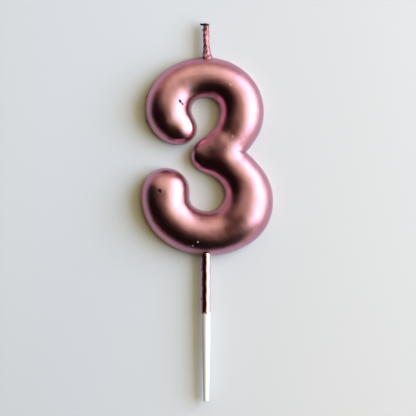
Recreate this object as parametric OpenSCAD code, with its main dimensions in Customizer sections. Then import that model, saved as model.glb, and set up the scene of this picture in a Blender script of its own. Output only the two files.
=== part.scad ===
// Number birthday candle: a cast wax numeral 3 in a thin metallic lacquer,
// with a twisted cotton wick in its top and a plastic pick in its foot.
//
// Millimetres, +Z up. The origin is on the pick's axis, where the pick leaves
// the bottom of the numeral. The numeral faces -Y, and its flat back faces +Y.

/* [Numeral] */
// Height of the wax numeral
numeral_h = 70; // [66:1:100]
// Width of the stroke along its plain runs
stroke_w = 15; // [12:0.5:15.5]
// Rise of the rounded front above the straight edge
dome_h = 6.4; // [4:0.2:8]
// Height of the straight edge around the flat back
edge_h = 1.2; // [0.6:0.1:2]
// Depth of the wick and pick axis in front of the flat back
axis_depth = 2.6; // [2.5:0.1:3.5]
// Thickness of the metallic lacquer on the numeral and the wick
lacquer_t = 0.08; // [0.05:0.01:0.15]

/* [Wick] */
// Diameter of the coated wick
wick_d = 2.3; // [1.8:0.1:2.8]
// Length of wick above the numeral
wick_len = 11.7; // [6:0.5:20]
// Length of wick held in the wax
wick_grip = 9.5; // [6:0.5:10]
// Height of one full twist of the yarns
wick_pitch = 6; // [4:0.5:10]
// Thickness of the wax primed onto the yarns
priming_t = 0.12; // [0.08:0.02:0.2]
// Width of the lacquer fillet at the wick's root
root_w = 1.2; // [0.8:0.1:1.4]

/* [Pick] */
// Diameter of the bare pick
pick_d = 2.8; // [2.4:0.1:3.6]
// Length of pick below the numeral
pick_len = 51.3; // [40:0.5:90]
// Length of pick held in the wax
pick_grip = 11; // [9:0.5:12]
// Length of pick below the numeral that the lacquer covers
coat_len = 20.7; // [5:0.5:25]
// Thickness of the lacquer on the pick, where the dip drains off
pick_coat_t = 0.16; // [0.1:0.01:0.3]
// Width of the lacquer fillet between the pick and the numeral
pick_root_w = 0.5; // [0.3:0.1:0.8]
// Length of the tapered end
taper_len = 22; // [15:0.5:30]
// Diameter of the flat tip
tip_d = 1.9; // [1.4:0.1:2.2]
// How far a retention ring stands out of the pick
ring_lift = 0.5; // [0.3:0.05:0.6]
// Height of a retention ring
ring_h = 1.2; // [0.8:0.1:2]

/* [Hidden] */
$fn = 64;

// The stroke's centre line, for a numeral drawn 70 high with a stroke 15 wide.
// Two branches leave the waist. Each is a chain of arcs, [radius, angle], and
// an angle above 0 turns left. The first arc of each wraps round the notch.
draft_stroke_w = 15;
waist_x = 5.75;
notch_reach = 8.5;
notch_dir = 3.4;
waist_half = 6.9;
upper_heading = 67;
upper_arcs = [[17, -17], [21, 25.5], [11.5, 75.5], [15.2, 61.5], [11.2, 58], [6.6, 68]];
upper_half = [7.7, 7.1, 7.2, 7.9, 6];
upper_end_slope = -0.4;
lower_heading = -56;
lower_arcs = [[31.5, 11], [33, -10.5], [11.4, -64], [14, -45], [17.8, -60.5], [10.2, -59]];
lower_half = [7.4, 8.8, 7.75, 8.05, 8.45];
lower_end_slope = 0.05;
// The nub points back from the waist between the two bowls.
nub_len = 5.8;
nub_half = 5.4;
nub_end_slope = -0.75;

// How finely the numeral's skin is divided
arc_steps = 5;
cap_steps = 9;
nub_steps = 5;
dome_steps = 6;

back_y = axis_depth;
edge_y = back_y - edge_h;
dome_per_half = dome_h / (draft_stroke_w / 2);
stroke_k = stroke_w / draft_stroke_w;

priming_r = wick_d / 2 - lacquer_t;
bundle_r = priming_r - priming_t;
// Three parallel yarns touch when their centres are 1.155 yarn radii off axis.
lay_ratio = 1.17;
yarn_r = bundle_r / (1 + lay_ratio);
yarn_sides = 10;
yarn_turn_step = 30;
yarn_show = 0.35;
pick_r = pick_d / 2;
ring_gap = 2.4;
joint_clear = 5;

// ---- Curves ----

function unit(a) = [cos(a), sin(a)];

// Where an arc ends, from its start p and its heading h, a fraction f along it
function arc_point(p, h, arc, f) =
    p + 2 * arc[0] * sin(abs(arc[1]) * f / 2) * unit(h + arc[1] * f / 2);

function arc_length(arc) = arc[0] * abs(arc[1]) * PI / 180;

// Start point and heading of every arc in a chain, and of its far end
function arc_starts(p, h, arcs, i = 0) =
    i == len(arcs) ? [[p, h]] : concat(
        [[p, h]],
        arc_starts(arc_point(p, h, arcs[i], 1), h + arcs[i][1], arcs, i + 1)
    );

function sum_to(values, n) = n <= 0 ? 0 : values[n - 1] + sum_to(values, n - 1);

// Cubic between two values with given end slopes, and its slope
function cubic(t, d, y0, y1, m0, m1) =
    (2 * pow(t, 3) - 3 * pow(t, 2) + 1) * y0 + (pow(t, 3) - 2 * pow(t, 2) + t) * d * m0
    + (3 * pow(t, 2) - 2 * pow(t, 3)) * y1 + (pow(t, 3) - pow(t, 2)) * d * m1;

function cubic_slope(t, d, y0, y1, m0, m1) =
    (6 * pow(t, 2) - 6 * t) * (y0 - y1) / d
    + (3 * pow(t, 2) - 4 * t + 1) * m0 + (3 * pow(t, 2) - 2 * t) * m1;

// ---- Stroke ----
// A station is [centre, heading, half width, slope of half width, dome half width].
// The outline is the envelope of the discs drawn at the stations.

// Slope at which the gap to point k grows along heading h
function gap_slope(p, h, k) = (p - k) * unit(h) / norm(p - k);

function branch(start, heading, arcs, ends, end_slope, notch, grow) =
    let (
        starts = arc_starts(start, heading, arcs),
        lengths = [for (arc = arcs) arc_length(arc)],
        far = len(arcs),
        s = [for (i = [0:far]) sum_to(lengths, i)],
        leave = starts[1],
        w = concat([0, norm(leave[0] - notch)], [for (e = ends) e + grow]),
        m = [for (i = [0:far])
            i == 0 ? 0
            : i == 1 ? gap_slope(leave[0], leave[1], notch)
            : i == far ? end_slope
            : (w[i + 1] - w[i - 1]) / (s[i + 1] - s[i - 1])]
    )
    [for (i = [0:far - 1]) for (k = [(i == 0 ? 0 : 1):arc_steps])
        let (
            f = k / arc_steps,
            p = k == arc_steps ? starts[i + 1][0] : arc_point(starts[i][0], starts[i][1], arcs[i], f),
            h = starts[i][1] + arcs[i][1] * f,
            half = i == 0 ? norm(p - notch)
                : cubic(f, lengths[i], w[i], w[i + 1], m[i], m[i + 1]),
            slope = i == 0 ? gap_slope(p, h, notch)
                : cubic_slope(f, lengths[i], w[i], w[i + 1], m[i], m[i + 1]),
            waist = waist_half * stroke_k + grow,
            dome = i == 0 ? waist + (w[1] - waist) * f : half
        )
        [p, h, half, slope, dome]];

function swing(station) = acos(-station[3]);

function touch(station, side) =
    station[0] + station[2] * unit(station[1] + side * swing(station));

// Pairs [centre point, outline point, dome half width] that go once round a branch
function branch_pairs(stations, notch, notch_side) =
    let (
        last = len(stations) - 1,
        end = stations[last],
        reach = swing(end)
    )
    concat(
        [for (i = [1:last]) side_pair(stations[i], -1, i <= arc_steps && notch_side == -1, notch)],
        [for (k = [1:cap_steps])
            [end[0], end[0] + end[2] * unit(end[1] + reach * (2 * k / (cap_steps + 1) - 1)), end[4]]],
        [for (i = [last:-1:1]) side_pair(stations[i], 1, i <= arc_steps && notch_side == 1, notch)]
    );

function side_pair(station, side, at_notch, notch) =
    [station[0], at_notch ? notch : touch(station, side), station[4]];

// The nub's stations, from the disc that both branches share at the waist
function nub(start, upper0, lower0, len_k, grow) =
    let (
        from = upper0[1] + swing(upper0),
        to = 360 + lower0[1] - swing(lower0),
        h = (from + to) / 2,
        m0 = -cos((to - from) / 2),
        d = nub_len * len_k,
        w1 = nub_half * stroke_k + grow,
        waist = waist_half * stroke_k + grow
    )
    [for (k = [0:nub_steps])
        let (f = k / nub_steps)
        [
            start + f * d * unit(h), h,
            cubic(f, d, upper0[2], w1, m0, nub_end_slope),
            cubic_slope(f, d, upper0[2], w1, m0, nub_end_slope),
            waist + (w1 - waist) * f
        ]];

function scaled(arcs, k) = [for (arc = arcs) [arc[0] * k, arc[1]]];

// Stations of the upper branch, the lower branch and the nub
function numeral_stations(len_k, start, grow) =
    let (
        // The notch's corner goes out a little further than the plain edges do.
        notch = start + (notch_reach * stroke_k + 1.3 * grow) * unit(notch_dir),
        up = branch(start, upper_heading, scaled(upper_arcs, len_k), upper_half * stroke_k,
            upper_end_slope, notch, grow),
        low = branch(start, lower_heading, scaled(lower_arcs, len_k), lower_half * stroke_k,
            lower_end_slope, notch, grow)
    )
    [up, low, nub(start, up[0], low[0], len_k, grow), notch];

// Pairs once round the whole numeral, anticlockwise from the notch
function numeral_pairs(st) =
    let (
        up = st[0],
        low = st[1],
        waist = up[0]
    )
    concat(
        [[waist[0], st[3], waist[4]]],
        branch_pairs(up, st[3], -1),
        [[waist[0], touch(waist, 1), waist[4]]],
        branch_pairs(st[2], st[3], 0),
        [[waist[0], touch(low[0], -1), waist[4]]],
        branch_pairs(low, st[3], 1)
    );

// The draft is stretched so that its outline is numeral_h high.
draft = numeral_stations(1, [0, 0], 0);
draft_z = [for (st = concat(draft[0], draft[1])) st[0][1]];
top_z = max(draft_z);
low_z = min(draft_z);
top_half = [for (st = draft[0]) if (st[0][1] == top_z) st[2]][0];
low_half = [for (st = draft[1]) if (st[0][1] == low_z) st[2]][0];
length_k = (numeral_h - top_half - low_half) / (top_z - low_z);
waist = [waist_x * length_k, low_half - low_z * length_k];

wax_pairs = numeral_pairs(numeral_stations(length_k, waist, 0));
coat_pairs = numeral_pairs(numeral_stations(length_k, waist, lacquer_t));

// ---- Solids ----

// A closed numeral from its pairs: flat back, straight edge, elliptical dome.
// Every pair gives one line of points, from the centre line of the flat back,
// round the edge and over the dome to the centre line of the front.
module numeral_solid(pairs, grow) {
    n = len(pairs);
    rows = dome_steps + 3;
    points = [for (r = [0:rows - 1]) for (pair = pairs)
        let (
            a = r < 2 ? 0 : (r - 2) * 90 / dome_steps,
            p = r == 0 ? pair[0] : pair[0] + (pair[1] - pair[0]) * cos(a),
            rise = (pair[2] - grow) * dome_per_half + grow,
            y = r < 2 ? back_y + grow : edge_y - rise * sin(a)
        )
        [p[0], y, p[1]]];
    faces = [for (r = [0:rows - 2]) for (i = [0:n - 1])
        let (j = (i + 1) % n)
        each [
            [r * n + i, (r + 1) * n + i, (r + 1) * n + j],
            [r * n + i, (r + 1) * n + j, r * n + j]
        ]];
    polyhedron(points, faces);
}

// One yarn: level circles stacked along a helix
module yarn(index) {
    low = numeral_h - wick_grip;
    high = numeral_h + wick_len + yarn_show;
    rings = ceil((high - low) / wick_pitch * 360 / yarn_turn_step);
    points = [for (r = [0:rings]) for (s = [0:yarn_sides - 1])
        let (
            z = low + (high - low) * r / rings,
            turn = 120 * index + 360 * (z - low) / wick_pitch,
            c = lay_ratio * yarn_r * unit(turn) + yarn_r * unit(turn + 360 * s / yarn_sides)
        )
        [c[0], c[1], z]];
    faces = concat(
        [[for (s = [0:yarn_sides - 1]) s]],
        [[for (s = [yarn_sides - 1:-1:0]) rings * yarn_sides + s]],
        [for (r = [0:rings - 1]) for (s = [0:yarn_sides - 1])
            let (
                t = (s + 1) % yarn_sides,
                here = r * yarn_sides,
                next = here + yarn_sides
            )
            each [[here + s, next + s, next + t], [here + s, next + t, here + t]]]
    );
    polyhedron(points, faces);
}

// The pick's outline, turned about its own axis
module pick_solid(grip, length) {
    rotate_extrude() polygon([
        [0, -length], [tip_d / 2, -length], [pick_r, taper_len - length], [pick_r, ring_gap],
        [pick_r + ring_lift, ring_gap + 0.2], [pick_r + ring_lift, ring_gap + ring_h],
        [pick_r, ring_gap + ring_h + 0.2], [pick_r, 2 * ring_gap + ring_h],
        [pick_r + ring_lift, 2 * ring_gap + ring_h + 0.2],
        [pick_r + ring_lift, 2 * ring_gap + 2 * ring_h],
        [pick_r, 2 * ring_gap + 2 * ring_h + 0.2], [pick_r, grip], [0, grip]
    ]);
}

module wick_bore(length) {
    translate([0, 0, numeral_h - wick_grip]) cylinder(r = priming_r, h = length);
}

module wax_numeral() {
    color("antiquewhite") difference() {
        numeral_solid(wax_pairs, 0);
        pick_solid(pick_grip, pick_len);
        wick_bore(wick_grip + joint_clear);
    }
}

module numeral_lacquer() {
    color("rosybrown") difference() {
        numeral_solid(coat_pairs, lacquer_t);
        numeral_solid(wax_pairs, 0);
        translate([0, 0, -joint_clear]) cylinder(r = pick_r, h = 2 * joint_clear);
        wick_bore(wick_grip + joint_clear);
    }
}

module wick_yarn_1() { color("ivory") yarn(0); }

module wick_yarn_2() { color("ivory") yarn(1); }

module wick_yarn_3() { color("ivory") yarn(2); }

module wick_priming_wax() {
    length = wick_grip + wick_len;
    color("cornsilk") translate([0, 0, numeral_h - wick_grip]) difference() {
        cylinder(r = priming_r, h = length);
        translate([0, 0, -joint_clear]) cylinder(r = bundle_r, h = length + 2 * joint_clear);
    }
}

// A sleeve round the wick, with a fillet where it meets the numeral
module wick_lacquer() {
    foot_z = numeral_h - dome_h / 4;
    top_z = numeral_h + wick_len;
    r = wick_d / 2;
    fillet = [for (a = [0:15:90]) [r + root_w * (1 - sin(a)), numeral_h + 2 * root_w * (1 - cos(a))]];
    color("rosybrown") difference() {
        rotate_extrude() polygon(concat(
            [[priming_r, foot_z], [r + root_w, foot_z]], fillet, [[r, top_z], [priming_r, top_z]]
        ));
        numeral_solid(coat_pairs, lacquer_t);
    }
}

module pick() {
    color("white") pick_solid(pick_grip, pick_len);
}

// A sleeve round the top of the pick, with a fillet where it meets the numeral
module pick_lacquer() {
    r = pick_r + pick_coat_t;
    fillet = [for (a = [0:15:90]) [r + pick_root_w * (1 - cos(a)), pick_root_w * (sin(a) - 1)]];
    color("rosybrown") difference() {
        rotate_extrude() polygon(concat(
            [[pick_r, -coat_len], [r, -coat_len]], fillet,
            [[r + pick_root_w, joint_clear], [pick_r, joint_clear]]
        ));
        numeral_solid(coat_pairs, lacquer_t);
    }
}

wax_numeral();
numeral_lacquer();
wick_yarn_1();
wick_yarn_2();
wick_yarn_3();
wick_priming_wax();
wick_lacquer();
pick();
pick_lacquer();
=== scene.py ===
from types import SimpleNamespace

import bmesh
import bpy
import numpy as np
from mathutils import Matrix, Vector


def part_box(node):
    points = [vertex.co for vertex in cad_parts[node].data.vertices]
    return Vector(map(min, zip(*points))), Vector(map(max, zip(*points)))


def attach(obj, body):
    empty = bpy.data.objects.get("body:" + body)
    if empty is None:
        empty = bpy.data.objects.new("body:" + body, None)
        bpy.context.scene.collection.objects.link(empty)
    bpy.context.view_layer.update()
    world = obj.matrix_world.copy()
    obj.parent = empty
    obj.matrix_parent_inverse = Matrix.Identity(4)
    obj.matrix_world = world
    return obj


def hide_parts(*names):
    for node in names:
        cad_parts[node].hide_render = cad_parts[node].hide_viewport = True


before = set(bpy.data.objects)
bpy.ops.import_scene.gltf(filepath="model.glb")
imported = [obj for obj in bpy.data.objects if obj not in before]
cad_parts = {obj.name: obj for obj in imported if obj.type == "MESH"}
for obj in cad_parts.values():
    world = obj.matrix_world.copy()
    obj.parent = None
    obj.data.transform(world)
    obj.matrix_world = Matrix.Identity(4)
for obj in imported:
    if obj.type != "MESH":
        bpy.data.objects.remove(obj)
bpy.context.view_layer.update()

# A number birthday candle: a cast wax numeral under a rose metallic dip, a dipped wick and a plastic pick.
# Shapes are worked out in millimetres, X to the right, Z up along the pick and -Y towards the viewer,
# and a mesh gets them in metres.

MM = 0.001


def box_mm(node):
    """Lowest and highest corner of a CAD node, in millimetres."""
    low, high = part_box(node)
    return np.array(low) / MM, np.array(high) / MM


WAX_LOW, WAX_HIGH = box_mm("wax_numeral")
COAT_BACK_Y = box_mm("numeral_lacquer")[1][1]
WICK_LOW, WICK_HIGH = box_mm("wick_lacquer")
YARN_LOW, YARN_HIGH = box_mm("wick_yarn_1")
PICK_LOW, PICK_HIGH = box_mm("pick")
DIP_LOW, DIP_HIGH = box_mm("pick_lacquer")

# ---- The numeral's shape ----

NUMERAL_H = WAX_HIGH[2] - WAX_LOW[2]
BACK_Y = WAX_HIGH[1]
# Depth of the upright side between the flat back and the dome
SIDE = 1.2
EDGE_Y = BACK_Y - SIDE
DIP = COAT_BACK_Y - BACK_Y
# The dome rises this far over a stroke of the plain half width, and in proportion over any other
DOME_RISE = 6.4
PLAIN_HALF = 7.5
# The lip round the back fades over this depth, and dies away at the notch over this length
LIP_H = 0.5
LIP_CLEAR = 3.0

# The waist, where the branches meet, and the way from it to the notch, longer for a thicker layer
WAIST_X = 5.75
WAIST_HALF = 6.9
NOTCH_REACH = 8.5
NOTCH_DIR = 3.4
NOTCH_GROWTH = 1.3
# Each branch of the stroke leaves the waist at a heading and follows arcs, each a radius and a turn,
# with a half width at each joint after the first and at the tip
UPPER = SimpleNamespace(
    heading=67,
    arcs=((17, -17), (21, 25.5), (11.5, 75.5), (15.2, 61.5), (11.2, 58), (6.6, 68)),
    halves=(7.7, 7.1, 7.2, 7.9, 6.0),
    end_slope=-0.4,
)
LOWER = SimpleNamespace(
    heading=-56,
    arcs=((31.5, 11), (33, -10.5), (11.4, -64), (14, -45), (17.8, -60.5), (10.2, -59)),
    halves=(7.4, 8.8, 7.75, 8.05, 8.45),
    end_slope=0.05,
)
# The short end left of the waist
NUB_LEN = 5.8
NUB_HALF = 5.4
NUB_END_SLOPE = -0.75
# Half the length of centre line over which one arc turns into the next
EASE = 2.4
# Length of centre line over which the dome's height stops changing before a tip
TIP_EASE = 5.0
# Spacing of the stations on a centre line
FINE = 0.02
# Spread of the bell that rounds the outline, and the spacing and count of its steps to each side
ROUND = 2.3
ROUND_STEP = 0.1
ROUND_COUNT = 80
# The outline is left alone this near the notch, and fully rounded this much further away
NOTCH_KEPT = 2.0
NOTCH_FADE = 5.0
# Spread of the bell that evens out the height where ridges meet
MELT = 1.3
# Share of the dome's height up to which it keeps its height, and points worked out at one time
MELT_FOOT = 0.4
MELT_BATCH = 500
# The ridges meet this far left of the waist. Near and far reach of the evening out there and round a tip
MEETING_LEFT = 1.5
MEETING_REACH = (5.5, 10.5)
TIP_REACH = (2.0, 6.0)
# Rows of a layer's grid: their share of the way to the edge on the back, then the corner's and the side's
BACK_SHARES = (0, 0.3, 0.6, 0.85, 0.95)
CORNER_ROWS = 5
SIDE_ROWS = 9


def unit(degrees):
    """Direction in the XZ plane at an angle from +X."""
    a = np.radians(degrees)
    return np.stack([np.cos(a), np.sin(a)], axis=-1)


def smooth(x):
    """Rises from 0 to 1 with x, level at both ends: 3x^2 - 2x^3."""
    t = np.clip(x, 0, 1)
    return t * t * (3 - 2 * t)


def running(values, s):
    """Integral of values along s, from 0, by trapezoids."""
    step = (s[1:] - s[:-1]).reshape((-1,) + (1,) * (values.ndim - 1))
    parts = (values[1:] + values[:-1]) / 2 * step
    return np.concatenate([np.zeros((1,) + values.shape[1:]), np.cumsum(parts, axis=0)])


def cubic(s, joints, values, slopes):
    """Hermite cubic through each joint's value and slope, and its own slope."""
    i = np.clip(np.searchsorted(joints, s, side="right") - 1, 0, len(joints) - 2)
    d = joints[i + 1] - joints[i]
    t = (s - joints[i]) / d
    v0, v1, m0, m1 = values[i], values[i + 1], slopes[i], slopes[i + 1]
    value = (2 * t**3 - 3 * t**2 + 1) * v0 + (t**3 - 2 * t**2 + t) * d * m0
    value = value + (3 * t**2 - 2 * t**3) * v1 + (t**3 - t**2) * d * m1
    slope = (6 * t**2 - 6 * t) * (v0 - v1) / d + (3 * t**2 - 4 * t + 1) * m0 + (3 * t**2 - 2 * t) * m1
    return value, slope


def centre_line(start, shape, k):
    """Heading is the arcs' heading averaged over a short window, and the line is its running integral."""
    radii, turns = np.array(shape.arcs, float).T
    joints = np.concatenate([[0], np.cumsum(radii * k * np.radians(np.abs(turns)))])
    s = np.linspace(0, joints[-1], int(joints[-1] / FINE))
    bend = np.interp(s, joints, shape.heading + np.concatenate([[0], np.cumsum(turns)]))
    window = np.minimum(EASE, np.minimum(s, joints[-1] - s))
    total = running(bend, s)
    span = np.interp(s + window, s, total) - np.interp(s - window, s, total)
    heading = np.where(window > FINE, span / np.maximum(2 * window, FINE), bend)
    return s, joints, start + running(unit(heading), s), heading


def branch(start, shape, notch, grow, k):
    """One branch of the stroke: its centre line, half width, that width's slope, and the dome's half width.

    Up to the first joint the half width is the distance to the notch, so the edge stays at the notch.
    After it the width is a cubic through the joints' widths."""
    s, joints, centre, heading = centre_line(start, shape, k)
    gap = np.linalg.norm(centre - notch, axis=1)
    gap_slope = ((centre - notch) * unit(heading)).sum(axis=1) / gap
    values = np.concatenate([[np.interp(joints[1], s, gap)], np.array(shape.halves) + grow])
    inner = (values[2:] - values[:-2]) / (joints[3:] - joints[1:-2])
    slopes = np.concatenate([[np.interp(joints[1], s, gap_slope)], inner, [shape.end_slope]])
    half, slope = cubic(s, joints[1:], values, slopes)
    held = s < joints[1]
    half = np.where(held, gap, half)
    slope = np.where(held, gap_slope, slope)
    e = smooth(s / joints[1])
    level = half - running(slope * smooth((s - s[-1] + TIP_EASE) / TIP_EASE), s)
    dome = (WAIST_HALF + grow) * (1 - e) + level * e
    return SimpleNamespace(s=s, centre=centre, heading=heading, half=half, slope=slope, dome=dome, held=held)


def thinned(line, step):
    """The same stations at an even, wider spacing."""
    s = np.linspace(0, line.s[-1], max(3, int(round(line.s[-1] / step)) + 1))

    def at(values):
        """Values of the line at the new stations."""
        return np.interp(s, line.s, values)

    centre = np.stack([at(line.centre[:, 0]), at(line.centre[:, 1])], axis=1)
    return SimpleNamespace(
        s=s, centre=centre, heading=at(line.heading), half=at(line.half),
        slope=at(line.slope), dome=at(line.dome), held=at(line.held) > 0.5,
    )


def touch(line, side):
    """Where discs of the half width touch their envelope on a side: swung acos(-slope) from the heading."""
    swing = np.degrees(np.arccos(-line.slope))
    return line.centre + line.half[:, None] * unit(line.heading + side * swing)


def around(line, notch, notch_side, fan_count):
    """Centre, edge and dome width out along the right side, round the tip and back along the left."""
    right = touch(line, -1)
    left = touch(line, 1)
    if notch_side == -1:
        right[line.held] = notch
    if notch_side == 1:
        left[line.held] = notch
    swing = np.degrees(np.arccos(-line.slope[-1]))
    fan = np.linspace(-1, 1, fan_count + 2)[1:-1] * swing
    tip = line.centre[-1] + line.half[-1] * unit(line.heading[-1] + fan)
    centre = np.concatenate([line.centre[1:], np.repeat(line.centre[-1:], fan_count, 0), line.centre[:0:-1]])
    edge = np.concatenate([right[1:], tip, left[:0:-1]])
    dome = np.concatenate([line.dome[1:], np.repeat(line.dome[-1:], fan_count), line.dome[:0:-1]])
    return centre, edge, dome


def nub_line(start, up, low, grow, k):
    """The short blunt end left of the waist: it heads between the two branches and narrows by a cubic."""
    a = up.heading[0] + np.degrees(np.arccos(-up.slope[0]))
    b = 360 + low.heading[0] - np.degrees(np.arccos(-low.slope[0]))
    middle = (a + b) / 2
    s = np.linspace(0, NUB_LEN * k, int(NUB_LEN * k / FINE))
    ends = np.array([up.half[0], NUB_HALF + grow])
    slopes = np.array([-np.cos(np.radians((b - a) / 2)), NUB_END_SLOPE])
    half, slope = cubic(s, np.array([0, s[-1]]), ends, slopes)
    dome = WAIST_HALF + grow + (NUB_HALF - WAIST_HALF) * smooth(s / s[-1])
    return SimpleNamespace(
        s=s, centre=start + s[:, None] * unit(middle), heading=np.full(len(s), middle),
        half=half, slope=slope, dome=dome, held=np.zeros(len(s), bool),
    )


def averaged(line, bell):
    """A closed, evenly spaced line averaged along itself with a bell."""
    reach = len(bell) // 2
    return np.convolve(np.concatenate([line[-reach:], line, line[:reach]]), bell, "valid")


def rounded(edge, notch):
    """The closed outline evened out along itself, except beside the notch.

    Twice the average less the average of the average keeps an arc's radius."""
    gaps = np.linalg.norm(np.roll(edge, -1, axis=0) - edge, axis=1)
    along = np.concatenate([[0], np.cumsum(gaps)])
    even = np.arange(0, along[-1], ROUND_STEP)
    loop = np.concatenate([edge, edge[:1]])
    steps = np.arange(-ROUND_COUNT, ROUND_COUNT + 1) * ROUND_STEP
    bell = np.exp(-((steps / ROUND) ** 2) / 2)
    bell /= bell.sum()
    result = []
    for axis in (0, 1):
        once = averaged(np.interp(even, along, loop[:, axis]), bell)
        line = 2 * once - averaged(once, bell)
        result.append(np.interp(along[:-1], even, line, period=along[-1]))
    away = np.linalg.norm(edge - notch, axis=1) - NOTCH_KEPT
    return edge + smooth(away / NOTCH_FADE)[:, None] * (np.stack(result, axis=1) - edge)


def outline(start, grow, step, fan_count, k):
    """The closed round of centre, edge and dome width that every layer of the numeral is made from."""
    start = np.array(start, float)
    notch = start + (NOTCH_REACH + NOTCH_GROWTH * grow) * unit(NOTCH_DIR)
    up = branch(start, UPPER, notch, grow, k)
    low = branch(start, LOWER, notch, grow, k)
    nub = nub_line(start, up, low, grow, k)

    def one(line, side):
        """A line's first point on one side."""
        return line.centre[:1], touch(line, side)[:1], line.dome[:1]

    parts = [
        (start[None], notch[None], up.dome[:1]),
        around(thinned(up, step), notch, -1, fan_count),
        one(up, 1),
        around(thinned(nub, step), notch, 0, fan_count),
        one(low, -1),
        around(thinned(low, step), notch, 1, fan_count),
    ]
    centre, edge, dome = (np.concatenate(x) for x in zip(*parts))
    edge = rounded(edge, notch)
    return SimpleNamespace(centre=centre, edge=edge, dome=dome, notch=notch, up=up, low=low)


def fitted_outline(grow, step, fan_count):
    """The outline scaled along its centre lines until the numeral has the CAD numeral's height."""
    rough = outline((0, 0), 0, 1.0, 3, 1.0)
    z = np.concatenate([rough.up.centre[:, 1], rough.low.centre[:, 1]])
    half = np.concatenate([rough.up.half, rough.low.half])
    top, foot = half[z.argmax()], half[z.argmin()]
    k = (NUMERAL_H - top - foot) / (z.max() - z.min())
    return outline((WAIST_X * k, foot - z.min() * k), grow, step, fan_count, k)


def melted(grid, first_row, middle, near, far):
    """Evens out the height of the dome round a place where ridges meet.

    Each point takes the mean height of the cells round it, weighed by their area and by a bell of their
    distance. The change fades between near and far from the middle, and towards the foot of the dome."""
    rows = len(grid) - first_row
    dome = grid[first_row:]
    flat = dome[:, :, [0, 2]]
    right = np.roll(flat, -1, axis=1)
    a, b = right[:-1] - flat[:-1], flat[1:] - flat[:-1]
    area = np.abs(a[:, :, 0] * b[:, :, 1] - a[:, :, 1] * b[:, :, 0])
    cell = (flat[:-1] + flat[1:] + right[:-1] + right[1:]) / 4
    height = (dome[:-1, :, 1] + dome[1:, :, 1]) / 2
    height = (height + np.roll(height, -1, axis=1)) / 2
    close = np.linalg.norm(cell - middle, axis=2) < far + 2 * MELT
    area, cell, height = area[close], cell[close], height[close]
    up = np.sin(np.radians(np.linspace(0, 90, rows)))[:, None]
    share = smooth((far - np.linalg.norm(flat - middle, axis=2)) / (far - near))
    share = share * smooth((up - MELT_FOOT) / MELT_FOOT)
    picked = np.argwhere(share > 0)
    for some in np.array_split(picked, max(1, len(picked) // MELT_BATCH)):
        r, c = some.T
        apart = flat[r, c][:, None] - cell[None]
        weight = area * np.exp(-(apart**2).sum(axis=2) / (2 * MELT**2))
        mean = (weight * height).sum(axis=1) / weight.sum(axis=1)
        dome[r, c, 1] += (mean - dome[r, c, 1]) * share[r, c]
    return grid


def numeral_layer(grow, step, fan_count, dome_rows, lip, corner):
    """Grid of one layer of the numeral, rows from the middle of the flat back to the top of the dome.

    A row is the centre plus a share of the way to the edge, plus an outward step. The back is flat, a
    quarter circle turns its corner, the lip fades up the side, and the dome is a quarter ellipse."""
    o = fitted_outline(grow, step, fan_count)
    reach = o.edge - o.centre
    out = reach / np.linalg.norm(reach, axis=1, keepdims=True)
    free = smooth(np.linalg.norm(o.edge - o.notch, axis=1) / LIP_CLEAR)
    along = np.arange(len(reach)) * 2 * np.pi / len(reach)
    waves = 0.25 * np.sin(9 * along + 1.0) * np.sin(23 * along) + 0.3 * np.sin(3 * along + 2.4)
    lip = lip * free * (0.75 + waves)
    back = BACK_Y + grow
    turn = np.radians(np.linspace(0, 90, CORNER_ROWS))
    forward = np.linspace(0, 1, SIDE_ROWS + 1)[1:]
    dome = np.radians(np.linspace(0, 90, dome_rows + 1))[1:]
    side = back - corner - EDGE_Y
    on_back = np.zeros(len(BACK_SHARES))
    on_dome = np.zeros(dome_rows)
    share = np.concatenate([BACK_SHARES, np.ones(CORNER_ROWS + SIDE_ROWS), np.cos(dome)])
    lip_share = np.concatenate([on_back, np.ones(CORNER_ROWS), 1 - smooth(forward * side / LIP_H), on_dome])
    step_out = np.concatenate([on_back, corner * (np.sin(turn) - 1), np.zeros(SIDE_ROWS), on_dome])
    y = np.concatenate([on_back + back, back - corner * (1 - np.cos(turn)), back - corner - side * forward])
    rise = (o.dome - grow) * DOME_RISE / PLAIN_HALF + grow
    depth = np.concatenate([
        np.repeat(y[:, None], len(reach), axis=1),
        EDGE_Y - np.sin(dome)[:, None] * rise,
    ])
    shift = lip_share[:, None] * lip + step_out[:, None]
    flat = o.centre + share[:, None, None] * reach + shift[:, :, None] * out
    grid = np.stack([flat[:, :, 0], depth, flat[:, :, 1]], axis=-1)
    first_row = len(share) - dome_rows - 1
    meeting = o.up.centre[0] - np.array([MEETING_LEFT, 0])
    grid = melted(grid, first_row, meeting, *MEETING_REACH)
    grid = melted(grid, first_row, o.up.centre[-1], *TIP_REACH)
    grid = melted(grid, first_row, o.low.centre[-1], *TIP_REACH)
    return grid, out


# ---- Making meshes ----

# A direction that no tube's path runs along
ASIDE = (0.31, 0.94, 0.13)


def once_round(count):
    """Even angles once round, the last a step short of the first."""
    return np.linspace(0, 2 * np.pi, count, endpoint=False)


def grid_faces(rows, columns, first, wrap_rows):
    """Vertex numbers of the quads of a grid that is closed along its columns."""
    r = np.arange(rows if wrap_rows else rows - 1)[:, None]
    c = np.arange(columns)[None, :]
    below = (r + 1) % rows
    right = (c + 1) % columns
    quads = np.stack(
        [r * columns + c, r * columns + right, below * columns + right, below * columns + c], axis=-1
    )
    return quads.reshape(-1, 4) + first


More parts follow.
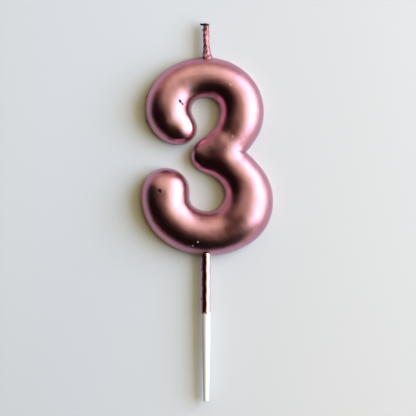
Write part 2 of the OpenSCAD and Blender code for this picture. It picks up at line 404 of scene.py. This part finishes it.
def closed_part(grid, wrap_rows=False, inward=False):
    """A bmesh of one closed grid. Ends that aren't wrapped must already meet at a point or a line."""
    rows, columns, _ = grid.shape
    mesh = bpy.data.meshes.new("draft")
    points = grid.reshape(-1, 3) * MM
    mesh.from_pydata(points.tolist(), [], grid_faces(rows, columns, 0, wrap_rows).tolist())
    bm = bmesh.new()
    bm.from_mesh(mesh)
    bpy.data.meshes.remove(mesh)
    bmesh.ops.remove_doubles(bm, verts=bm.verts, dist=1e-8)
    bmesh.ops.recalc_face_normals(bm, faces=bm.faces)
    if inward:
        bmesh.ops.reverse_faces(bm, faces=bm.faces)
    return bm


def piece(name, parts, finish, slot, *nodes):
    """One visible piece from its closed parts. It rides on the root body and stands for its CAD nodes."""
    whole = bmesh.new()
    for part in parts:
        draft = bpy.data.meshes.new("draft")
        part.to_mesh(draft)
        whole.from_mesh(draft)
        bpy.data.meshes.remove(draft)
        part.free()
    mesh = bpy.data.meshes.new(name)
    whole.to_mesh(mesh)
    whole.free()
    mesh.polygons.foreach_set("use_smooth", np.ones(len(mesh.polygons), bool))
    mesh.materials.append(finish)
    obj = bpy.data.objects.new(name, mesh)
    bpy.context.scene.collection.objects.link(obj)
    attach(obj, "root")
    if nodes:
        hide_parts(*nodes)
    return obj


def turned(radius_z, columns):
    """Grid of a profile of (radius, height) turned about the Z axis."""
    r, z = np.array(radius_z, float).T
    a = once_round(columns)
    heights = np.repeat(z[:, None], columns, axis=1)
    return np.stack([r[:, None] * np.cos(a), r[:, None] * np.sin(a), heights], axis=-1)


def tube(path, radii, columns):
    """A round tube of changing radius along a path, closed by a point at both ends."""
    along = np.gradient(path, axis=0)
    along /= np.linalg.norm(along, axis=1, keepdims=True)
    across = np.cross(along, ASIDE)
    across /= np.linalg.norm(across, axis=1, keepdims=True)
    third = np.cross(along, across)
    a = once_round(columns)
    ring = np.cos(a)[None, :, None] * across[:, None] + np.sin(a)[None, :, None] * third[:, None]
    radii = np.array(radii, float)
    radii[0] = radii[-1] = 0
    return path[:, None] + radii[:, None, None] * ring


# ---- Node trees ----


class Value:
    """A number socket, with the arithmetic that adds Math nodes to its tree."""

    def __init__(self, tree, socket):
        self.tree = tree
        self.socket = socket

    def __add__(self, other):
        return self.tree.math("ADD", self, other)

    __radd__ = __add__

    def __mul__(self, other):
        return self.tree.math("MULTIPLY", self, other)

    __rmul__ = __mul__

    def __sub__(self, other):
        return self.tree.math("SUBTRACT", self, other)

    def __rsub__(self, other):
        return self.tree.math("SUBTRACT", other, self)


class Tree:
    """A node tree, with one method that adds any node."""

    def __init__(self, owner):
        owner.use_nodes = True
        self.nodes = owner.node_tree.nodes
        self.links = owner.node_tree.links
        self.nodes.clear()

    def add(self, kind, settings=None, sockets=None):
        """Adds a node, sets its settings, then sets or links its sockets."""
        node = self.nodes.new("ShaderNode" + kind)
        for name, setting in (settings or {}).items():
            setattr(node, name, setting)
        for name, value in (sockets or {}).items():
            if isinstance(value, Value):
                value = value.socket
            if isinstance(value, bpy.types.NodeSocket):
                self.links.new(value, node.inputs[name])
            else:
                node.inputs[name].default_value = value
        return node

    def math(self, operation, *values):
        """The value of a Math node's operation on values or numbers."""
        node = self.add("Math", {"operation": operation}, dict(enumerate(values)))
        return Value(self, node.outputs[0])

    def ease(self, value, low, high):
        """0 below low, 1 above high and a smooth step between."""
        node = self.add("MapRange", {"interpolation_type": "SMOOTHSTEP"}, {0: value, 1: low, 2: high})
        return Value(self, node.outputs[0])

    def mix(self, factor, a, b, blend="MIX"):
        """Colour a where factor is 0 and b, or a blended with b, where it is 1."""
        node = self.add("Mix", {"data_type": "RGBA", "blend_type": blend}, {0: factor, 6: a, 7: b})
        return node.outputs[2]

    def noise(self, at, scale, detail):
        """Noise about 0.5, with scale in cycles a metre and detail in octaves."""
        node = self.add("TexNoise", {}, {"Vector": at, "Scale": scale, "Detail": detail})
        return Value(self, node.outputs[0])

    def near(self, at, point, inner, outer):
        """1 within inner metres of a point and 0 beyond outer."""
        node = self.add("VectorMath", {"operation": "DISTANCE"}, {0: at, 1: tuple(point)})
        return 1 - self.ease(Value(self, node.outputs[1]), inner, outer)

    def parts(self, vector):
        """X, Y and Z of a vector as values."""
        node = self.add("SeparateXYZ", {}, {0: vector})
        return [Value(self, s) for s in node.outputs]


def rgb(r, g, b):
    """A colour with the full alpha that a socket takes."""
    return (r, g, b, 1.0)


def finish_of(name, build):
    """A material whose surface is the shader that build returns for its tree and object coordinates."""
    material = bpy.data.materials.new(name)
    tree = Tree(material)
    at = tree.add("TexCoord").outputs["Object"]
    shader = build(tree, at)
    tree.add("OutputMaterial", {}, {"Surface": shader.outputs[0]})
    return material


# ---- Finishes ----

# The lacquer's two tones on the numeral, and where it is laid on thicker, on the wick
ROSE = (rgb(0.50, 0.225, 0.33), rgb(0.60, 0.29, 0.40))
THICK_ROSE = (rgb(0.34, 0.14, 0.20), rgb(0.50, 0.23, 0.30))
# On the pick the dip is painted dark on the left, a painted shade, and pale on the right, a painted
# highlight
PICK_PAINTED_SHADE = rgb(0.20, 0.05, 0.075)
PICK_PAINTED_HIGHLIGHT = rgb(0.82, 0.60, 0.68)
SOOT = rgb(0.02, 0.008, 0.01)
# Pale specks on the lacquer; one of them is a painted glint
PALE_SPECK_AND_GLINT = rgb(0.95, 0.75, 0.78)


def lacquer(tree, at, dark_marks=(), pale_marks=(), grain=1.0, dull=0.0, tones=ROSE, singed=None, painted_pick_sides=False):
    """Metal-pigment lacquer: fine flake in its roughness and bump, cloudy colour, chips, pale specks with
    one painted glint, and on the pick a painted shade and highlight.

    A mark is a point and a size in metres, and singed is the height above which the lacquer is black."""
    flake = tree.noise(at, 2700, 4.0)
    cloud = tree.noise(at, 130, 3.0)
    swell = tree.noise(at, 210, 1.0)
    colour = tree.mix(tree.ease(cloud + flake, 0.75, 1.25), *tones)
    rough = 0.17 + dull + 0.09 * flake + 0.03 * cloud
    metal = 1.0
    # Painted light on the pick: painted shade on its left, painted highlight on its right
    if painted_pick_sides:
        painted_lit_side = tree.ease(tree.parts(at)[0] + (cloud - 0.5) * 0.0003, -0.0003, 0.0007)
        colour = tree.mix(painted_lit_side, PICK_PAINTED_SHADE, PICK_PAINTED_HIGHLIGHT)
    if singed:
        black = tree.ease(tree.parts(at)[2] + (flake - 0.5) * 0.0008, singed - 0.0004, singed)
        colour = tree.mix(black, colour, SOOT)
        rough = rough + black * 0.3
    for point, size in dark_marks:
        ragged = tree.noise(at, 1500, 2.0)
        mark = tree.near(at, point, size * 0.7, size * 1.3) * tree.ease(ragged, 0.25, 0.45)
        colour = tree.mix(mark, colour, SOOT)
        rough = rough + mark * 0.3
    # Pale specks, one of them a painted glint, that is a painted highlight
    for point, size in pale_marks:
        mark = tree.near(at, point, size * 0.3, size)
        colour = tree.mix(mark, colour, PALE_SPECK_AND_GLINT)
        metal = metal - mark * 0.8
    height = flake * (3.0 * grain) + swell * 4.0
    bump = tree.add("Bump", {}, {"Strength": 0.6, "Distance": 0.00004, "Height": height})
    return tree.add("BsdfPrincipled", {}, {
        "Base Color": colour, "Metallic": metal, "Roughness": rough, "Normal": bump.outputs[0],
    })


def wax(tree, at):
    """Cast wax: creamy, slightly mottled and softly glossy."""
    mottle = tree.noise(at, 260, 4.0)
    bump = tree.add("Bump", {}, {"Strength": 0.4, "Distance": 0.0001, "Height": tree.noise(at, 900, 3.0)})
    return tree.add("BsdfPrincipled", {}, {
        "Base Color": tree.mix(mottle, rgb(0.86, 0.79, 0.66), rgb(0.93, 0.89, 0.79)),
        "Roughness": 0.35 + 0.2 * mottle, "Normal": bump.outputs[0],
    })


def cotton(tree, at):
    """Waxed cotton yarn: fine fibres, stained dark by the dip towards the cut end."""
    fibre = tree.noise(at, 4200, 3.0)
    height = tree.parts(at)[2]
    tip = float(YARN_HIGH[2]) * MM
    stain = tree.ease(height + fibre * 0.0008, tip - 0.0012, tip - 0.0001)
    plain = tree.mix(fibre, rgb(0.70, 0.62, 0.50), rgb(0.88, 0.84, 0.74))
    bump = tree.add("Bump", {}, {"Strength": 0.7, "Distance": 0.00006, "Height": fibre})
    return tree.add("BsdfPrincipled", {}, {
        "Base Color": tree.mix(stain, plain, rgb(0.055, 0.03, 0.032)),
        "Roughness": 0.6 + 0.3 * fibre, "Normal": bump.outputs[0],
    })


def white_plastic(tree, at):
    """Moulded white plastic with faint flow streaks along the pick and a rubbed gloss."""
    stretched = tree.add("Mapping", {}, {"Vector": at, "Scale": (1.0, 1.0, 0.08)}).outputs[0]
    flow = tree.noise(stretched, 1500, 3.0)
    scuff = tree.noise(at, 700, 4.0)
    bump = tree.add("Bump", {}, {"Strength": 0.3, "Distance": 0.00004, "Height": flow + scuff * 0.5})
    return tree.add("BsdfPrincipled", {}, {
        "Base Color": tree.mix(flow, rgb(0.66, 0.66, 0.62), rgb(0.74, 0.74, 0.71)),
        "Roughness": 0.28 + 0.2 * scuff, "Normal": bump.outputs[0], "Subsurface Weight": 0.15,
        "Subsurface Radius": (0.4, 0.4, 0.35), "Subsurface Scale": 0.001,
    })


# A ray that starts closer to the table than this, from the numeral's flat back, passes through it
TABLE_CLEAR = 0.00015


def table_top(tree, at):
    """Pale matt table, seen from its front only, so that the back of the candle can be looked at."""
    cloud = tree.noise(at, 14, 2.0)
    across, _, up = tree.parts(at)
    # Painted light: the table is painted warmer towards the right, and darker and bluer towards the lower
    # left, where the light falls off
    right = tree.ease(across + (cloud - 0.5) * 0.02, -0.07, 0.07)
    upper = tree.ease(up - across, -0.02, 0.12)
    left = tree.mix(upper, rgb(0.485, 0.50, 0.53), rgb(0.52, 0.535, 0.555))
    surface = tree.add("BsdfPrincipled", {}, {
        "Base Color": tree.mix(right, left, rgb(0.515, 0.50, 0.46)),
        "Roughness": 0.55 + 0.1 * cloud,
    })
    clear = tree.add("BsdfTransparent")
    behind = Value(tree, tree.add("NewGeometry").outputs["Backfacing"])
    length = Value(tree, tree.add("LightPath").outputs["Ray Length"])
    hidden = tree.math("MAXIMUM", behind, tree.math("LESS_THAN", length, TABLE_CLEAR))
    return tree.add("MixShader", {}, {0: hidden, 1: surface.outputs[0], 2: clear.outputs[0]})


# ---- Numeral ----

# Depth at which the points of the outline are looked for, and within what
OUTLINE_Y = 1.9
OUTLINE_NEAR = 0.25
# Drips on the outline: share of the numeral's width and height, radius, and how far each stands out
DRIPS = ((0.02, 0.81, 0.5, 0.45), (0.028, 0.668, 0.55, 0.5), (0.66, 0.975, 0.6, 0.25))
# The first drips are stained, over this radius
STAINED_DRIPS = 2
DRIP_STAIN = 1.3
# Marks on the front: share of the numeral's width and height, and radius
SCRATCH = (((0.295, 0.776), 0.45), ((0.305, 0.768), 0.45), ((0.317, 0.76), 0.4))
SPECKS = (((0.147, 0.327), 0.6), ((0.155, 0.319), 0.4), ((0.4549, 0.465), 0.5))
# Pale specks; the one at (0.674, 0.855) is a painted glint
PALE_SPECKS_AND_GLINT = (((0.691, 0.599), 0.3), ((0.674, 0.855), 0.3), ((0.43, 0.071), 0.35), ((0.397, 0.052), 0.3))


def pushed(grid, out, lumps):
    """Moves a grid outward by a bell of height h and radius r round each lump's place on the outline."""
    for x, z, depth, radius, height in lumps:
        apart = np.linalg.norm(grid - np.array([x, depth, z]), axis=-1)
        lift = height * np.exp(-((apart / radius) ** 2))
        grid[:, :, 0] += lift * out[:, 0]
        grid[:, :, 2] += lift * out[:, 1]
    return grid


def at_share(across, up):
    """X and Z at a share of the numeral's width and height."""
    return WAX_LOW[0] + across * (WAX_HIGH[0] - WAX_LOW[0]), WAX_LOW[2] + up * (WAX_HIGH[2] - WAX_LOW[2])


def front_point(grid, across, up):
    """The point of the front surface at a share of the numeral's width and height, in metres."""
    x, z = at_share(across, up)
    points = grid.reshape(-1, 3)
    points = points[points[:, 1] < EDGE_Y]
    nearest = np.argmin((points[:, 0] - x) ** 2 + (points[:, 2] - z) ** 2)
    return points[nearest] * MM


def edge_point(grid, across, up):
    """The point of the outline nearest a share of the numeral's width and height: X, Z and depth."""
    x, z = at_share(across, up)
    points = grid.reshape(-1, 3)
    points = points[np.abs(points[:, 1] - OUTLINE_Y) < OUTLINE_NEAR]
    nearest = points[np.argmin((points[:, 0] - x) ** 2 + (points[:, 2] - z) ** 2)]
    return nearest[0], nearest[2], nearest[1]


def make_numeral():
    """The numeral's coat, hollow with a small gap round the wax, and the wax in it."""
    outer, out = numeral_layer(grow=DIP, step=0.25, fan_count=44, dome_rows=26, lip=0.16, corner=0.12)
    lumps = [(*edge_point(outer, across, up), r, h) for across, up, r, h in DRIPS]
    outer = pushed(outer, out, lumps)
    inner, _ = numeral_layer(grow=0.01, step=0.6, fan_count=16, dome_rows=14, lip=0.0, corner=0.05)
    body, _ = numeral_layer(grow=-0.01, step=0.5, fan_count=20, dome_rows=16, lip=0.0, corner=0.05)
    dark_marks = [(front_point(outer, *share), size * MM) for share, size in SCRATCH + SPECKS]
    pale_marks = [(front_point(outer, *share), size * MM) for share, size in PALE_SPECKS_AND_GLINT]
    stained = lumps[:STAINED_DRIPS]
    dark_marks += [(np.array([x, y, z]) * MM, DRIP_STAIN * MM) for x, z, y, _, _ in stained]
    rose = finish_of("rose_lacquer", lambda tree, at: lacquer(tree, at, dark_marks, pale_marks))
    piece("numeral_dip_coat", [closed_part(outer), closed_part(inner, inward=True)], rose, "lacquer",
          "numeral_lacquer")
    piece("numeral_wax", [closed_part(body)], finish_of("cast_wax", wax), "wax", "wax_numeral")


# ---- Wick ----

# The lacquer's rim is this far below the yarns' ends
RIM_BELOW = 0.6
WICK_TOP = YARN_HIGH[2] - RIM_BELOW
# The lacquer has a fillet this wide at its root
FILLET = 1.2
WICK_R = WICK_HIGH[0] - FILLET
# The lacquer's mean radius is this much inside the wick's, its root this far below the numeral's top
LOBE_ROOM = 0.1
ROOT_SINK = 0.1
# Width and height of the flared root, and how much more of each it has on the right
FLARE = 0.4
FLARE_H = 1.0
FLARE_RIGHT = 0.9
FLARE_RIGHT_H = 1.0
# Wall of a sleeve round the wick, and the most its bore can be
SLEEVE_WALL = 0.09
BORE_R = 1.05
# One turn of the yarns, how many there are, how far each is off the axis, and its radius and rounded end
PITCH = 6.0
STRANDS = 3
STRAND_OFF = 0.5
STRAND_R = 0.43
STRAND_END = 0.25
# Scraps of lacquer at the rim: middle with its height from the rim, three radii and the waves' phase
SCRAPS = (
    ((-1.45, -0.1, -0.15), (0.55, 0.4, 0.32), 1.0),
    ((-1.9, -0.15, 0.12), (0.3, 0.25, 0.2), 2.2),
    ((-1.18, -0.4, -1.9), (0.22, 0.25, 0.3), 3.1),
)
# Loose fibres: three points of a curve with their heights from the rim
LOOSE = (
    ((0.2, -0.5, 0), (0.9, -0.7, 0.2), (1.6, -0.6, -0.05)),
    ((-0.3, -0.6, 0), (-0.5, -0.8, 0.35), (-0.9, -0.7, 0.42)),
    ((-0.5, 0.1, 0), (-1.2, 0.2, 0.3), (-2.1, 0.1, 0.35)),
)
LOOSE_R = 0.09
# The lacquer is singed from this far below its rim
SINGED = 0.3


def turn_at(z):
    """Angle of the first strand at a height, one turn a pitch."""
    return 2 * np.pi * (z - YARN_LOW[2]) / PITCH


def sleeve_radius(a, z, inset):
    """Radius of the dipped wick: a circle, three lobes over the strands, a few creases and a flared root."""
    lobes = 0.09 * np.cos(STRANDS * (a - turn_at(z)))
    creases = 0.05 * np.sin(2 * a + 0.9 * z) + 0.05 * np.sin(5 * a - 1.1 * z + 1.0) * np.sin(1.9 * z)
    creases = creases + 0.025 * np.sin(9 * a + 2.7 * z) * np.sin(3.3 * z - 2 * a)
    right = (np.cos(a) + np.cos(a) ** 2) / 2
    foot = NUMERAL_H - ROOT_SINK
    rise = np.exp(-np.maximum(z - foot, 0) / (FLARE_H + FLARE_RIGHT_H * right))
    sunk = np.exp(-np.maximum(foot - 0.8 - z, 0) / 1.2)
    flare = (FLARE + FLARE_RIGHT * right) * rise * sunk
    return WICK_R - LOBE_ROOM - inset + lobes + creases + flare


def sleeve(inset, low, high):
    """Grid of a closed sleeve round the wick: up the outside, over a ragged rim and down the inside."""
    a = once_round(72)[None, :]
    up = np.linspace(0, 1, 120)[:, None]
    rim = high + 0.12 * np.sin(2 * a + 0.6) + 0.07 * np.sin(5 * a)
    z_out = low + (rim - low) * up
    r_out = sleeve_radius(a, z_out, inset) - 0.05 * smooth((up - 0.985) / 0.015)
    z_in = z_out[::-1]
    r_in = np.minimum(sleeve_radius(a, z_in, inset + SLEEVE_WALL), BORE_R)
    z = np.concatenate([z_out, z_in])
    r = np.concatenate([r_out, r_in])
    a = np.repeat(a, len(z), axis=0)
    return np.stack([r * np.cos(a), r * np.sin(a), z], axis=-1)


def strand(index):
    """Grid of one yarn: a round tube on a helix that closes at both ends and frays a little apart on top."""
    z = np.linspace(YARN_LOW[2], WICK_TOP + 0.45 - 0.12 * index, 150)
    a = turn_at(z) + index * 2 * np.pi / STRANDS
    off = STRAND_OFF + 0.05 * smooth((z - WICK_TOP) / RIM_BELOW)
    path = np.stack([off * np.cos(a), off * np.sin(a), z], axis=-1)
    from_end = np.minimum(z - z[0], z[-1] - z) / STRAND_END
    ends = np.sqrt(1 - (1 - from_end).clip(0) ** 2)
    return tube(path, STRAND_R * ends, 20)


def fibre(points, radius):
    """Grid of one loose fibre along a quadratic curve through three points, thinning to its end."""
    p0, p1, p2 = points
    t = np.linspace(0, 1, 14)[:, None]
    path = (1 - t) ** 2 * p0 + 2 * t * (1 - t) * p1 + t * t * p2
    return tube(path, radius * (1.1 - t[:, 0] * 0.6), 8)


def scrap(centre, radii, phase):
    """Grid of a scrap of lacquer: a ball with three unequal radii and a few waves over it."""
    u = np.linspace(0, np.pi, 15)[:, None]
    a = once_round(24)[None, :]
    wave = 1 + 0.16 * np.sin(3 * a + phase) * np.sin(2 * u) + 0.12 * np.sin(5 * u + phase) * np.cos(2 * a)
    ball = np.stack([np.sin(u) * np.cos(a) * wave, np.sin(u) * np.sin(a) * wave, np.cos(u) * wave], axis=-1)
    ball[0] = ball[0].mean(axis=0)
    ball[-1] = ball[-1].mean(axis=0)
    return np.array(centre) + ball * np.array(radii)


def make_wick():
    """The wick from the outside in: its coat with a few scraps, the priming wax, the yarns, loose fibres."""
    rim = np.array([0, 0, WICK_TOP])
    singed = float(WICK_TOP - SINGED) * MM

    def coat_finish(tree, at):
        """The lacquer as it is on the wick: thick, coarse, dull, and singed on top."""
        return lacquer(tree, at, grain=1.6, dull=0.12, tones=THICK_ROSE, singed=singed)

    rose = finish_of("wick_rose_lacquer", coat_finish)
    coat = closed_part(sleeve(0, WICK_LOW[2], WICK_TOP), wrap_rows=True)
    scraps = [closed_part(scrap(rim + centre, radii, phase)) for centre, radii, phase in SCRAPS]
    piece("wick_dip_coat", [coat, *scraps], rose, "lacquer", "wick_lacquer")
    primer = closed_part(sleeve(0.095, YARN_LOW[2], WICK_TOP - 0.25), wrap_rows=True)
    piece("wick_primer", [primer], finish_of("priming_wax", wax), "wax", "wick_priming_wax")
    yarn = finish_of("waxed_cotton", cotton)
    for i in range(STRANDS):
        piece(f"wick_strand_{i + 1}", [closed_part(strand(i))], yarn, "cotton", f"wick_yarn_{i + 1}")
    loose = [closed_part(fibre(rim + np.array(points), LOOSE_R)) for points in LOOSE]
    piece("wick_loose_fibres", loose, yarn, "cotton")


# ---- Pick ----

# Radius of the coated pick, the coat's thickness, and the gap that keeps its inside off the plastic
DIP_R = 1.56
PICK_COAT = 0.16
COAT_GAP = 0.005
PICK_R = DIP_R - PICK_COAT
# The tapered end: radius at the tip, how far it is rounded, and the taper's length
TIP_R = 0.95
TIP_SOFT = 0.2
TAPER = 22
# The rings that hold the wax: where each starts up the pick, how far it stands out, and its soft corner
RINGS = (2.4, 6.0)
RING_OUT = 0.5
RING_SOFT = 0.04
END_CHAMFER = 0.15
# Drips on the left of the coat: angle, height, radius and how far each stands out
PICK_DRIPS = ((178, -5.1, 0.35, 0.3), (182, -10.3, 0.3, 0.14), (180, -15.3, 0.4, 0.36))


def pick_profile():
    """Radius and height from the tip's middle up to the middle of the end that the wax holds."""
    low, high = PICK_LOW[2], PICK_HIGH[2]
    straight = low + TAPER
    profile = [(0, low), (TIP_R * 0.5, low)]
    for t in np.radians(np.linspace(0, 90, 7)):
        profile.append((TIP_R - TIP_SOFT + TIP_SOFT * np.sin(t), low + TIP_SOFT * (1 - np.cos(t))))
    for z in np.linspace(low + TIP_SOFT, straight, 24)[1:]:
        profile.append((TIP_R + (PICK_R - TIP_R) * (z - low) / TAPER, z))
    for z in np.linspace(straight, RINGS[0], 30)[1:]:
        profile.append((PICK_R, z))
    full = PICK_R + RING_OUT
    for z in RINGS:
        profile += [(full - RING_SOFT, z + 0.2), (full, z + 0.3), (full, z + 1.1)]
        profile += [(full - RING_SOFT, z + 1.2), (PICK_R, z + 1.4)]
    profile += [(PICK_R, high - END_CHAMFER), (PICK_R - END_CHAMFER, high), (0, high)]
    return profile


def dip_edge(a):
    """Height of the dip's lower edge round the pick, higher on the right and waved in front."""
    wave = 0.3 * np.cos(6 * (a + np.radians(114)))
    return DIP_LOW[2] + 0.5 + wave + 0.6 * np.maximum(0, np.cos(a)) ** 2


def pick_dip():
    """Grid of the coat on the pick: down the outside, round its lower edge, and up the inside."""
    a = once_round(120)[None, :]
    top = DIP_HIGH[2] + 1.2
    down = np.linspace(0, 1, 150)[:, None]
    z = top + (dip_edge(a) - top) * down
    root = 0.15 * np.exp(-np.maximum(-0.1 - z, 0) / 0.5)
    run = 0.03 * np.sin(1.3 * z + 2 * a) + 0.02 * np.sin(3.1 * z - a)
    near_edge = np.exp(-((z - dip_edge(a)) / 0.5) ** 2)
    r = DIP_R - 0.03 + root + run + 0.04 * near_edge
    for angle, height, radius, lift in PICK_DRIPS:
        apart = ((a - np.radians(angle)) * DIP_R) ** 2 + (z - height) ** 2
        r = r + lift * np.exp(-apart / radius**2)
    turn = np.radians(np.linspace(0, 90, 6))[1:, None]
    inner = PICK_R + COAT_GAP
    r_edge = inner + (r[-1:] - inner) * np.cos(turn)
    z_edge = dip_edge(a) - 0.1 * np.sin(turn)
    z_in = z[::-1]
    r_all = np.concatenate([r, r_edge, np.full_like(z_in, inner)])
    z_all = np.concatenate([z, z_edge, z_in])
    a_all = np.repeat(a, len(z_all), axis=0)
    return np.stack([r_all * np.cos(a_all), r_all * np.sin(a_all), z_all], axis=-1)


def make_pick():
    """The moulded pick, and the coat on the part of it nearest the numeral."""
    piece("pick_shaft", [closed_part(turned(pick_profile(), 96))], finish_of("white_plastic", white_plastic),
          "pick_plastic", "pick")
    # Its lacquer has a painted shade on its left and a painted highlight on its right
    rose = finish_of("pick_rose_lacquer", lambda tree, at: lacquer(tree, at, grain=0.6, painted_pick_sides=True))
    piece("pick_dip_coat", [closed_part(pick_dip(), wrap_rows=True)], rose, "lacquer", "pick_lacquer")


# ---- Table, light and camera ----

VIEW_WIDTH = 0.14707
VIEW_CENTRE = (0.00067, 0.0015, 0.01672)
VIEW_BACK = 0.6
SENSOR = 36
# The light: width and height, power, colour, place and what it faces
WINDOW_SIZE = (0.50, 0.86)
WINDOW_POWER = 15.6
WINDOW_COLOUR = (0.50, 0.61, 1.0)
WINDOW_PLACE = (0.63, -0.375, 0.17)
WINDOW_FACES = (0.0, 0.0, 0.03)
# The room's colour low down and high up, and a ray's rise over which one fades into the other
LOW_WALL = rgb(0.36, 0.18, 0.10)
HIGH_WALL = rgb(0.66, 0.47, 0.34)
WALL_RISE = (-0.1, 0.7)
DARK = rgb(0.006, 0.002, 0.003)
WINDOW_DIRECTION = np.array([0.79, -0.585, 0.18])
# Patches of the room, each over the last: direction, degrees within which it is full and beyond which it
# is gone, and colour
PATCHES = (
    ((-0.09, -0.78, 0.62), 4, 34, rgb(1.2, 1.25, 0.76)),
    ((0.56, -0.28, -0.72), 12, 45, rgb(0.9, 0.8, 0.6)),
    (WINDOW_DIRECTION, 29, 53, rgb(1.8, 2.4, 1.5)),
    ((-0.48, -0.70, -0.50), 27, 46, DARK),
    ((0.05, -0.45, -0.84), 24, 42, DARK),
    ((-0.83, -0.55, -0.02), 26, 41, DARK),
)
# The window as the lacquer mirrors it: colour, and degrees of its soft edge across, up and round it
PANE = rgb(4.4, 4.2, 4.4)
PANE_ACROSS = (14, 24)
PANE_UP = (28, 40)
PANE_ROUND = (50, 60)
# What the camera sees past the table, and the tint of the room where it only lights
PLAIN = rgb(0.72, 0.74, 0.75)
LIT_TINT = rgb(1.15, 0.88, 0.75)


# The table's side in metres, and its gap to the numeral's coat in millimetres
TABLE_SIZE = 4
TABLE_GAP = 0.03


def make_table():
    """A table whose top lies just behind the numeral's flat back."""
    y = float(COAT_BACK_Y + TABLE_GAP) * MM
    half = TABLE_SIZE / 2
    corners = [(-half, y, -half), (half, y, -half), (half, y, half), (-half, y, half)]
    mesh = bpy.data.meshes.new("table")
    mesh.from_pydata(corners, [], [(0, 1, 2, 3)])
    mesh.materials.append(finish_of("pale_table", table_top))
    table = bpy.data.objects.new("table", mesh)
    bpy.context.scene.collection.objects.link(table)


def aim(obj, place, target, up="Y"):
    """Puts a light or a camera at a place, looking at a target with its own up side up."""
    obj.location = place
    obj.rotation_mode = "QUATERNION"
    obj.rotation_quaternion = (Vector(target) - Vector(place)).to_track_quat("-Z", up)


def make_window():
    """The large soft light on the right. Its reflection is left to the room's pane, which has soft edges."""
    light = bpy.data.lights.new("window", "AREA")
    light.shape = "RECTANGLE"
    light.size, light.size_y = WINDOW_SIZE
    light.energy = WINDOW_POWER
    light.color = WINDOW_COLOUR
    obj = bpy.data.objects.new("window", light)
    bpy.context.scene.collection.objects.link(obj)
    obj.visible_glossy = False
    aim(obj, WINDOW_PLACE, WINDOW_FACES)


def make_room():
    """Warm soft light from all round, the same room brighter with a window for the lacquer to mirror.

    Glossy rays see the mirrored room, the camera a plain colour, and all other rays the tinted room."""
    world = bpy.data.worlds.new("room")
    bpy.context.scene.world = world
    tree = Tree(world)
    way = tree.add("TexCoord").outputs["Generated"]

    def cosine(direction):
        """Cosine of the angle between a ray and a direction."""
        d = np.array(direction, float)
        d /= np.linalg.norm(d)
        node = tree.add("VectorMath", {"operation": "DOT_PRODUCT"}, {0: way, 1: tuple(d)})
        return Value(tree, node.outputs[1])

    def lobe(direction, near, far):
        """1 within near degrees of a direction and 0 beyond far."""
        low, high = np.cos(np.radians(far)), np.cos(np.radians(near))
        return tree.ease(cosine(direction), float(low), float(high))

    def slab(direction, near, far):
        """1 within near degrees of the plane square to a direction and 0 beyond far."""
        low, high = np.sin(np.radians(near)), np.sin(np.radians(far))
        return 1 - tree.ease(tree.math("ABSOLUTE", cosine(direction)), float(low), float(high))

    colour = tree.mix(tree.ease(tree.parts(way)[2], *WALL_RISE), LOW_WALL, HIGH_WALL)
    for direction, near, far, shade in PATCHES:
        colour = tree.mix(lobe(direction, near, far), colour, shade)
    across = np.cross(WINDOW_DIRECTION, [0, 0, 1])
    rise = np.cross(across, WINDOW_DIRECTION)
    pane = slab(across, *PANE_ACROSS) * slab(rise, *PANE_UP) * lobe(WINDOW_DIRECTION, *PANE_ROUND)
    mirrored = tree.mix(pane, colour, PANE)
    spread = tree.mix(1.0, colour, LIT_TINT, "MULTIPLY")
    plain, lit, shiny = (
        tree.add("Background", {}, {"Color": shade, "Strength": 1.0}).outputs[0]
        for shade in (PLAIN, spread, mirrored)
    )
    ray = tree.add("LightPath").outputs
    room = tree.add("MixShader", {}, {0: ray["Is Glossy Ray"], 1: lit, 2: shiny}).outputs[0]
    shader = tree.add("MixShader", {}, {0: ray["Is Camera Ray"], 1: room, 2: plain}).outputs[0]
    tree.add("OutputWorld", {}, {"Surface": shader})


def make_camera():
    """The camera square in front, with a lens that takes in the view's width at the view's centre."""
    camera = bpy.data.cameras.new("camera")
    camera.sensor_width = SENSOR
    camera.lens = SENSOR * VIEW_BACK / VIEW_WIDTH
    obj = bpy.data.objects.new("camera", camera)
    bpy.context.scene.collection.objects.link(obj)
    place = (VIEW_CENTRE[0], VIEW_CENTRE[1] - VIEW_BACK, VIEW_CENTRE[2])
    aim(obj, place, VIEW_CENTRE)
    bpy.context.scene.camera = obj


make_camera()
make_numeral()
make_wick()
make_pick()
make_table()
make_window()
make_room()
bpy.context.scene.view_settings.view_transform = "Standard"
